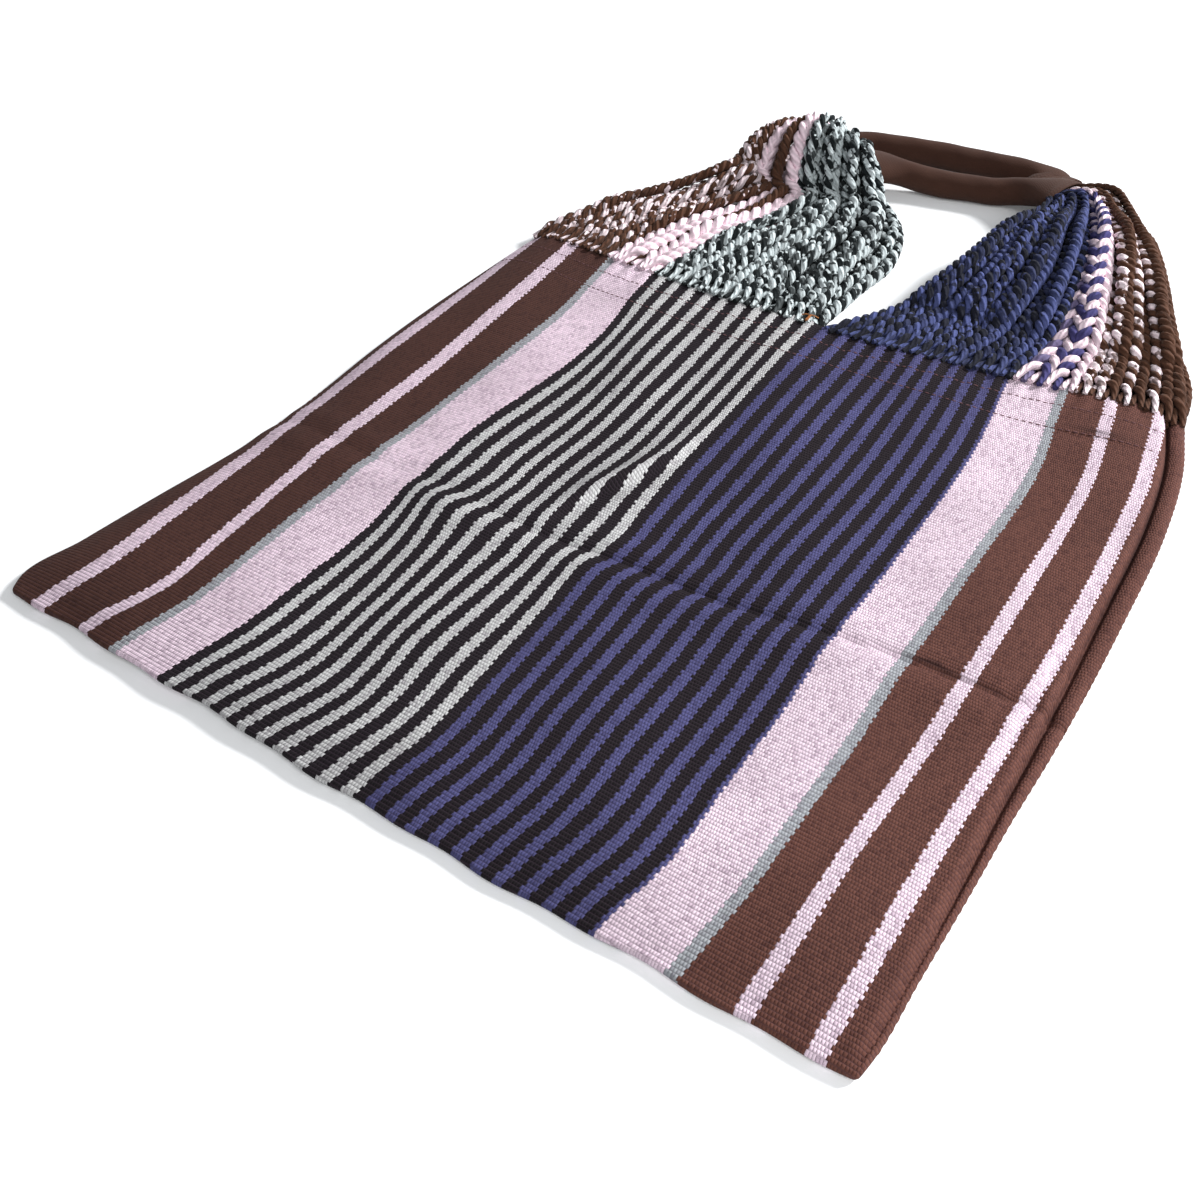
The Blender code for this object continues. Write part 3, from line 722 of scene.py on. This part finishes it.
# The cords of a fan from the side of the bag inwards: the slot each belongs to, the share of the
# slot's second yarn in each of its two plies, and where it leaves the cloth, in millimetres
mixed_yarns = np.random.default_rng(11)
BROWN_PLIES = [(-1, 0.85), (-1, 0), (0, 0.8), (-1, 0)]
LEFT_CORDS = [("brown_pink", *BROWN_PLIES[i % 4 if i % 5 else 2], -192 + 6.1 * i) for i in range(10)]
LEFT_CORDS += [("pink", 0, 0, -129), ("pink", 0, 0.04, -121.5), ("brown_pink", -1, -1, -117.5),
               ("brown_pink", -1, -1, -114.5), ("pink", 0, 0, -110.5), ("pink", 0, 0, -103)]
LEFT_CORDS += [("grey_black", *mixed_yarns.choice([(0, 1), (0, 1), (0, 1), (0, 1), (0, 0.1), (0.9, 1)]),
                -95.5 + 6.8 * i) for i in range(15)]
RIGHT_CORDS = [("brown_pink", -1, -1, 190), ("brown_pink", -1, -1, 183), ("brown_pink", -1, 1, 176.5),
               ("brown_pink", -1, -1, 170), ("brown_pink", -1, 1, 163.5), ("brown_pink", -1, -1, 157),
               ("brown_pink", 0, 1, 150.5), ("brown_pink", 0, 1, 144), ("pink", 0, 0.06, 137.5),
               ("pink", 0, 1, 130), ("pink", 0, 1, 122.5), ("pink", 0, 0.9, 115)]
RIGHT_CORDS += [("navy_black", *mixed_yarns.choice([(0, 1), (0, 1), (0, 1), (0, 0.3), (0.7, 1)]),
                 108 - 6.7 * i) for i in range(15)]


def smooth_curve(keys, count):
    """Read count rows from a smooth curve through the key rows."""
    keys = np.array(keys, float)
    padded = np.vstack([2 * keys[0] - keys[1], keys, 2 * keys[-1] - keys[-2]])
    at = np.linspace(0, len(keys) - 1, count)
    span = np.minimum(at.astype(int), len(keys) - 2)
    t = (at - span)[:, None]
    a, b, c, d = (padded[span + k] for k in range(4))
    return 0.5 * (2 * b + (c - a) * t + (2 * a - 5 * b + 4 * c - d) * t**2 + (3 * b - a - 3 * c + d) * t**3)


def unit(vectors):
    return vectors / np.linalg.norm(vectors, axis=-1, keepdims=True)


def fan_lines(side, front, mouth, high, heading, rows, cords, seed, under=None, regroup=None):
    """Centre lines of a fan's cords, their thickness, and each one's direction across the row."""
    chance = np.random.default_rng(seed)
    along = unit(np.array(heading))
    end = np.array(mouth) + (0, BODY_HEIGHT) + along * 0.004
    turn = np.degrees(np.arctan2(along[1], along[0])) - 90
    starts = np.array([cord[3] for cord in cords]) * MM
    inner_x, outer_x = side * 0.25 * CAD_PITCH, side * (MOUTH_WIDTH / 2 - 0.25 * CAD_PITCH)
    middle = ((inner_x + outer_x) / 2, BODY_HEIGHT - 0.004)
    keys = [(*middle, abs(outer_x - inner_x) / 2, 0, 0, 0)]
    keys += [(x, y + BODY_HEIGHT, half + 0.003, turned, lift, arch)
             for x, y, half, turned, lift, arch in rows]
    keys += [(*end, MOUTH_HALF, turn, 0, 0)]
    read = smooth_curve(keys, SAMPLES)
    angle = np.radians(read[:, 3])
    outward = np.stack([np.cos(angle), np.sin(angle)], axis=1) * side
    outer, inner = read[:, :2] + outward * read[:, 2:3], read[:, :2] - outward * read[:, 2:3]
    count = len(cords)
    even = (np.arange(count) + 0.5) / count
    hem = (starts - outer_x) / (inner_x - outer_x)
    way = np.linspace(0, 1, SAMPLES)
    settle = np.clip(way / 0.55, 0, 1)
    settle = settle * settle * (3 - 2 * settle)
    share = hem[:, None] * (1 - settle) + even[:, None] * settle
    if regroup:
        bend_at, bend_span, before, after = regroup
        moved = np.clip((way - bend_at) / bend_span, 0, 1)
        share += 0.05 * bump_at(even, 0.5)[:, None] * bump_at(way - bend_at, 0.10)
        share += (np.interp(even, before, after) - even)[:, None] * moved * moved * (3 - 2 * moved)
    for waves, size in ((1, 0.008), (2, 0.007), (3.3, 0.005), (5.1, 0.003)):
        phase = chance.uniform(0, 2 * pi, (count, 1))
        share += chance.normal(0, size, (count, 1)) * np.sin(waves * pi * way + phase) * np.sin(pi * way)
    plan = outer[None] + (inner - outer)[None] * share[:, :, None]
    to_hem = (mouth_line(plan[:, 0, 0]) - 0.0030) - plan[:, 0, 1]
    plan[:, :, 1] += to_hem[:, None] * np.clip(1 - way / 0.2, 0, 1)
    pitch = read[:, 2] * 2 / count
    wanted = CORD_END + (CORD - CORD_END) * np.cos(pi / 2 * way ** 1.6)
    thick = np.minimum(wanted, 2.4 * pitch)
    pleat = np.sqrt(np.maximum((SQUASH * thick) ** 2 - pitch ** 2, 0))
    wave = np.sin(np.arange(count) * pi / 2 + chance.normal(0, 0.3, count))[:, None]
    wave = wave + (chance.normal(0, 0.25, (count, 1))
                   * np.sin(3 * pi * way + chance.uniform(0, 6, (count, 1))))
    if front:
        below_level, below_thick, below_pleat = under
        level = below_level + below_pleat + pleat + (thick + below_thick) / 2 * 0.9 + FAN_GAP + read[:, 4]
        base = 2 * EDGE + swell(starts, np.full(count, BODY_HEIGHT)) + 0.0006
    else:
        level = SEAT + thick / 2 + pleat + read[:, 4]
        base = np.full(count, 0.0026)
    near = np.clip((way - MOUTH_LEAD) / (1 - MOUTH_LEAD), 0, 1)
    level = level + (high - level[-1]) * near
    leave = np.clip(1 - way / 0.10, 0, 1) ** 2
    arched = read[:, 5][None] * np.sin(pi * np.clip(share, 0, 1))
    heights = (level * (1 - leave))[None] + base[:, None] * leave[None] + arched
    if regroup:
        risen = np.clip((way - 0.30) / 0.2, 0, 1) * np.clip((1 - way) / 0.2, 0, 1)
        rise_of = {"pink": 0.0015, "brown_pink": -0.0020}
        heights += (0.009 * np.clip((0.32 - even) / 0.12, 0, 1)[:, None]) * bump_at(way - 0.43, 0.11)
        heights += np.array([rise_of.get(cord[0], 0) for cord in cords])[:, None] * risen
    centres = np.concatenate([plan, heights[:, :, None]], axis=2)
    across = unit(np.gradient(centres, axis=0))
    normal = unit(np.cross(across, np.gradient(centres, axis=1)))
    normal *= np.sign(normal[:, :, 2:3])
    centres = centres + normal * (wave * (pleat * (1 - leave))[None])[:, :, None]
    centres[:, :, 2] = np.maximum(centres[:, :, 2], thick * 0.70 * (1 - leave) + 0.0026 * leave)
    centres[:, :, 1] += FOLD_Y
    return centres, thick, across, (level, thick, pleat)


cord_tree, nodes, links, given, result = group_tree(
    "two_ply_cord", [("Step", "Float", 0.0015), ("Sides", "Int", 9), ("Material", "Material", None)])
fine = spaced_curve(nodes, given, given["Step"])


def read_attribute(nodes, name, kind="FLOAT"):
    node = nodes.new("GeometryNodeInputNamedAttribute")
    node.data_type = kind
    node.inputs["Name"].default_value = name
    return node.outputs["Attribute"]


def stored(nodes, geometry, name, value):
    """The geometry, with a value kept at each point under a name."""
    node = nodes.new("GeometryNodeStoreNamedAttribute")
    node.inputs["Name"].default_value = name
    feed(node.inputs["Geometry"], geometry)
    feed(node.inputs["Value"], value)
    return node.outputs[0]


ring = nodes.new("GeometryNodeCurvePrimitiveCircle")
ring.inputs["Radius"].default_value = 1.0
links.new(given["Sides"], ring.inputs["Resolution"])
ring_place = nodes.new("GeometryNodeSplineParameter")
ring_named = stored(nodes, ring.outputs[0], "around", ring_place.outputs["Factor"])
joined = nodes.new("GeometryNodeJoinGeometry")
tangent = nodes.new("GeometryNodeInputTangent")
run = nodes.new("GeometryNodeSplineParameter")
for ply in (0, 1):
    turned = nodes.new("ShaderNodeVectorRotate")
    turned.rotation_type = "AXIS_ANGLE"
    links.new(read_attribute(nodes, "row_direction", "FLOAT_VECTOR"), turned.inputs["Vector"])
    links.new(tangent.outputs[0], turned.inputs["Axis"])
    links.new(math_node(nodes, "ADD", read_attribute(nodes, "twist"), ply * pi),
              turned.inputs["Angle"])
    pushed = nodes.new("ShaderNodeVectorMath")
    pushed.operation = "SCALE"
    links.new(turned.outputs[0], pushed.inputs[0])
    links.new(read_attribute(nodes, "spread"), pushed.inputs["Scale"])
    moved = nodes.new("GeometryNodeSetPosition")
    links.new(fine, moved.inputs["Geometry"])
    links.new(pushed.outputs[0], moved.inputs["Offset"])
    coloured = stored(nodes, moved.outputs[0], "yarn", read_attribute(nodes, "ply_" + "ab"[ply]))
    tube = nodes.new("GeometryNodeCurveToMesh")
    links.new(stored(nodes, coloured, "run", run.outputs["Length"]), tube.inputs["Curve"])
    links.new(ring_named, tube.inputs["Profile Curve"])
    tube.inputs["Fill Caps"].default_value = True
    links.new(read_attribute(nodes, "ply_radius"), tube.inputs["Scale"])
    links.new(tube.outputs[0], joined.inputs[0])
finish_tree(nodes, joined.outputs[0], given, result)

# The yarn of a cord: each ply is itself many fine strands, which show as slanting ridges
yarn_group, nodes, links, given, result = new_group(
    "stranded_yarn", [("Run", "Float"), ("Around", "Float"), ("Share", "Float"), ("Fleck", "Float", 0.0),
                      ("First", "Color"), ("Second", "Color")],
    [("Colour", "Color"), ("Height", "Float")])
slant = math_node(nodes, "ADD", math_node(nodes, "MULTIPLY", given["Around"], 4.0),
                  math_node(nodes, "DIVIDE", given["Run"], 0.0052))
strand = math_node(nodes, "SINE", math_node(nodes, "MULTIPLY", slant, 2 * pi))
strand = math_node(nodes, "MULTIPLY_ADD", strand, 0.5, 0.5)
links.new(math_node(nodes, "ADD", strand, noise(nodes, 700, 3)), result["Height"])
fleck = map_range(nodes, noise(nodes, 240, 1), 0.575, 0.615, 0.0, 1.0)
flecked = math_node(nodes, "MULTIPLY", math_node(nodes, "MULTIPLY", fleck, given["Fleck"]),
                    math_node(nodes, "GREATER_THAN", given["Share"], -0.5))
turned_over = math_node(nodes, "SUBTRACT", 1.0, math_node(nodes, "MULTIPLY", given["Share"], 2.0))
share = math_node(nodes, "ADD", given["Share"], math_node(nodes, "MULTIPLY", flecked, turned_over))
base = mixed(nodes, share, given["First"], given["Second"])
# Painted shade: the grooves between strands are darker, on top of random lighter and darker patches
tone_and_strand_shade = math_node(nodes, "ADD", math_node(nodes, "MULTIPLY", noise(nodes, 130), 0.5),
                 math_node(nodes, "MULTIPLY_ADD", strand, 0.30, 0.58))
links.new(dimmed(nodes, base, tone_and_strand_shade), result["Colour"])


def cord_material(name, first, second, fleck):
    made, nodes, links, shader = material_of(name, 0.85)
    yarn = nodes.new("ShaderNodeGroup")
    yarn.node_tree = yarn_group
    for label, attribute in (("Run", "run"), ("Around", "around"), ("Share", "yarn")):
        node = nodes.new("ShaderNodeAttribute")
        node.attribute_name = attribute
        links.new(node.outputs["Fac"], yarn.inputs[label])
    yarn.inputs["Fleck"].default_value = fleck
    yarn.inputs["First"].default_value = first
    yarn.inputs["Second"].default_value = second
    links.new(yarn.outputs["Colour"], shader.inputs["Base Color"])
    add_bump(nodes, shader, yarn.outputs["Height"], 0.8, 0.0005)
    shader.inputs["Sheen Weight"].default_value = 0.03
    return made


CORD_LIGHT_GREY = (0.49, 0.545, 0.555, 1)
CORD_PINK = (0.86, 0.68, 0.75, 1)
CORD_BLACK = (0.008, 0.011, 0.012, 1)
CORD_NAVY = (0.060, 0.074, 0.190, 1)
CORD_DARK = (0.009, 0.010, 0.018, 1)
CORD_BROWN = (0.072, 0.032, 0.019, 1)
CORD_FLECK = (0.90, 0.76, 0.80, 1)
CORD_PAINTS = {"brown_pink": cord_material("brown_pink_yarn", CORD_BROWN, CORD_FLECK, 0.8),
               "pink": cord_material("pink_yarn", CORD_PINK, (0.050, 0.045, 0.14, 1), 0.0),
               "grey_black": cord_material("grey_black_yarn", CORD_LIGHT_GREY, CORD_BLACK, 0.9),
               "navy_black": cord_material("navy_black_yarn", CORD_NAVY, CORD_DARK, 0.8)}
CAD_SLOTS = {-1: [("brown_pink", 5), ("pink", 3), ("grey_black", 6)],
             1: [("brown_pink", 5), ("pink", 2), ("navy_black", 7)]}
surfaces = {}
for order, (fan, facts) in enumerate(FANS.items()):
    cords = LEFT_CORDS if facts["side"] < 0 else RIGHT_CORDS
    under = surfaces.get(fan.replace("front", "back")) if facts["front"] else None
    centres, thick, across, surfaces[fan] = fan_lines(cords=cords, seed=order + 3, under=under, **facts)
    chance = np.random.default_rng(order + 20)
    made = {}
    for i, (kind, ply_a, ply_b, start) in enumerate(cords):
        points = centres[i]
        steps = np.linalg.norm(np.diff(points, axis=0), axis=1)
        run = np.concatenate([[0], np.cumsum(steps)])
        hand = 1 if i % 2 and kind == "pink" else -1
        lay = LAY * chance.uniform(0.85, 1.2) * (1.25 if kind == "pink" else 1.0)
        begun = np.clip((run - 0.003) / 0.012, 0, 1)
        turns = np.concatenate([[0], np.cumsum(steps * (begun[1:] + begun[:-1]) / 2)]) / lay
        size = thick * chance.uniform(0.92, 1.08) * (1.12 if kind == "pink" else 1.0)
        if kind == "pink" and facts["side"] < 0 and facts["front"]:
            size = size * 1.22
        size = size * (1 + 0.06 * np.sin(run * chance.uniform(90, 160) + i))
        if kind == "brown_pink" and facts["side"] < 0 and i > 10:
            size = size * (0.35 + 0.80 * np.clip((run / run[-1] - 0.22) / 0.25, 0, 1))
        opened = np.clip(1 - run / 0.010, 0, 1)
        values = {"lines": points, "twist": hand * 2 * pi * turns,
                  "spread": size * (0.235 + 0.06 * opened),
                  "ply_radius": size * (0.285 - 0.10 * opened), "row_direction": across[i],
                  "ply_a": np.full(SAMPLES, float(ply_a)), "ply_b": np.full(SAMPLES, float(ply_b))}
        for label, value in values.items():
            made.setdefault(kind, {}).setdefault(label, []).append(value)
    first = 1
    for kind, count in CAD_SLOTS[facts["side"]]:
        columns = made[kind]
        cords_made = line_object(f"{fan}_{kind}_cords", columns.pop("lines"), columns)
        run_tree(cords_made, cord_tree, {"Step": 0.0015, "Sides": 9, "Material": CORD_PAINTS[kind]})
        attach(cords_made, "root")
        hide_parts(*[f"{fan}_cord_{n:02d}" for n in range(first, first + count)])
        first += count


# Centre tack: a knot of orange-brown thread that holds the front panel's two fans apart. It is
# wound round itself a few times, with two cut ends.
tack_paint, nodes, links, shader = material_of("tack_thread", 0.7)
links.new(mixed(nodes, noise(nodes, 1200), (0.30, 0.10, 0.03, 1), (0.52, 0.24, 0.10, 1)),
          shader.inputs["Base Color"])
tack_low, tack_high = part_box("centre_tack")
tack_middle = (tack_low + tack_high) / 2
t = np.linspace(0, 1, 90)
tack_line = np.column_stack([
    tack_middle.x + 0.0007 * np.cos(t * 14 * pi) + 0.0005,
    tack_low.y + (tack_high.y - tack_low.y) * (0.12 + 0.76 * t),
    tack_middle.z + 0.0007 * np.sin(t * 14 * pi)])
tack_ends = [np.column_stack([tack_middle.x + side * (0.0006 + 0.0045 * t[:30] * 3),
                              tack_high.y - 0.0012 + side * 0.0008 * t[:30] * 3,
                              tack_middle.z + 0.0006 - 0.0012 * (t[:30] * 3) ** 2]) for side in (-1, 1)]
tack_lines = [tack_line] + tack_ends
tack = line_object("centre_tack_thread", tack_lines, {
    "twist": [np.linspace(0, 60, len(p)) for p in tack_lines],
    "spread": [np.full(len(p), 0.00018) for p in tack_lines],
    "ply_radius": [np.full(len(p), 0.00022) for p in tack_lines],
    "row_direction": [np.tile([0.0, 0.0, 1.0], (len(p), 1)) for p in tack_lines],
    "ply_a": [np.zeros(len(p)) for p in tack_lines],
    "ply_b": [np.ones(len(p)) for p in tack_lines]})
run_tree(tack, cord_tree, {"Step": 0.0003, "Sides": 6, "Material": tack_paint})
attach(tack, "root")
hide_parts("centre_tack")


# Handles: each is a tube of brown cotton cloth sewn round the ends of two fans. It is round in
# the hand and flattened at its mouths, and its seam runs along the underside.
HANDLE = 0.0160
HANDLE_FLARE = 0.028
HANDLE_DROP = 0.050
HANDLE_RUN = 0.0084
HANDLE_RINGS = 150
HANDLE_SIDES = 48
MOUTH_TALL = 0.0068
BACK_ROUTE = [(-0.088, 0.185), (-0.072, 0.197), (-0.045, 0.2035), (-0.005, 0.2065),
              (0.030, 0.2070), (0.050, 0.2040)]
FRONT_ROUTE = [(-0.020, 0.1660), (0.002, 0.1700), (0.024, 0.1735), (0.040, 0.1755)]


def eased(share):
    share = np.clip(share, 0, 1)
    return share * share * (3 - 2 * share)


handle_paint, nodes, links, shader = material_of("handle_cloth", 0.8)
woven = woven_surface(nodes, 0.0011, 0.0009)
handle_brown = mixed(nodes, noise(nodes, 45), (0.034, 0.0140, 0.0092, 1),
                     (0.062, 0.0270, 0.0175, 1))
# Painted shade: the hollows between the floats are darkened
links.new(mixed(nodes, math_node(nodes, "MULTIPLY", woven["Gap"], 0.35), handle_brown,
                (0.03, 0.012, 0.01, 1)), shader.inputs["Base Color"])
add_bump(nodes, shader, woven["Height"], 0.6, 0.0003)
shader.inputs["Sheen Weight"].default_value = 0.05

for name, left_fan, right_fan, route in (("back", "left_back", "right_back", BACK_ROUTE),
                                         ("front", "left_front", "right_front", FRONT_ROUTE)):
    left_end, right_end = FANS[left_fan], FANS[right_fan]
    start, end = np.array(left_end["mouth"]), np.array(right_end["mouth"])
    left_way, right_way = unit(np.array(left_end["heading"])), unit(np.array(right_end["heading"]))
    keys = [start, start + HANDLE_RUN * left_way, *route, end + HANDLE_RUN * right_way, end]
    plan = smooth_curve(keys, HANDLE_RINGS) + (0, BODY_HEIGHT + FOLD_Y)
    run = np.concatenate([[0], np.cumsum(np.linalg.norm(np.diff(plan, axis=0), axis=1))])
    to_end = np.minimum(run, run[-1] - run)
    flare = eased(1 - to_end / HANDLE_FLARE)
    wide = HANDLE / 2 + (MOUTH_HALF + 0.0042 - HANDLE / 2) * flare
    tall = HANDLE / 2 + (MOUTH_TALL - HANDLE / 2) * flare
    high = (HANDLE / 2 + (left_end["high"] - HANDLE / 2) * eased(1 - run / HANDLE_DROP)
            + (right_end["high"] - HANDLE / 2) * eased(1 - (run[-1] - run) / HANDLE_DROP))
    centres = np.column_stack([plan, np.maximum(high, tall)])
    along = unit(np.gradient(centres, axis=0))
    across = unit(np.cross([0, 0, 1], along))
    rise = np.cross(along, across)
    angles = np.arange(HANDLE_SIDES) * 2 * pi / HANDLE_SIDES - pi / 2
    rings = []
    for k in range(HANDLE_RINGS):
        worn = 1 + 0.018 * np.sin(run[k] * 130 + 2 * angles) + 0.012 * np.sin(run[k] * 260 - 3 * angles)
        seam = 1 - 0.06 * np.exp(-(np.sin((angles + pi / 2) / 2) / 0.06) ** 2)
        girth = worn * seam
        rings.append(centres[k] + across[k] * (wide[k] * np.cos(angles) * girth)[:, None]
                     + rise[k] * (tall[k] * np.sin(angles) * girth)[:, None])
    tube = [centres[0] + (rings[0] - centres[0]) * 0.78 + along[0] * 0.005,
            centres[0] + (rings[0] - centres[0]) * 0.93 - along[0] * 0.0004] + rings
    tube += [centres[-1] + (rings[-1] - centres[-1]) * 0.93 + along[-1] * 0.0004,
             centres[-1] + (rings[-1] - centres[-1]) * 0.78 - along[-1] * 0.005]
    lengths = np.concatenate([[run[0] - 0.006, run[0] - 0.001], run, [run[-1] + 0.001, run[-1] + 0.006]])
    count = len(tube)
    faces, face_uv = [], []
    girth_m = pi * HANDLE
    for k in range(count - 1):
        for s in range(HANDLE_SIDES):
            n = (s + 1) % HANDLE_SIDES
            faces.append([k * HANDLE_SIDES + s, (k + 1) * HANDLE_SIDES + s,
                          (k + 1) * HANDLE_SIDES + n, k * HANDLE_SIDES + n])
            a, b = s / HANDLE_SIDES * girth_m, (s + 1) / HANDLE_SIDES * girth_m
            face_uv += [(a, lengths[k]), (a, lengths[k + 1]), (b, lengths[k + 1]), (b, lengths[k])]
    faces.append(list(range(HANDLE_SIDES)))
    face_uv += [(s * 0.001, 0.0) for s in range(HANDLE_SIDES)]
    faces.append([(count - 1) * HANDLE_SIDES + s for s in range(HANDLE_SIDES)][::-1])
    face_uv += [(s * 0.001, 0.0) for s in range(HANDLE_SIDES)]
    mesh = bpy.data.meshes.new(f"{name}_tube_handle")
    mesh.from_pydata(np.concatenate(tube).tolist(), [], faces)
    mesh.uv_layers.new(name="cloth").data.foreach_set("uv", np.array(face_uv, np.float32).ravel())
    mesh.shade_smooth()
    mesh.materials.append(handle_paint)
    handle = bpy.data.objects.new(f"{name}_tube_handle", mesh)
    scene.collection.objects.link(handle)
    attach(handle, "root")
    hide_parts(f"{name}_handle")
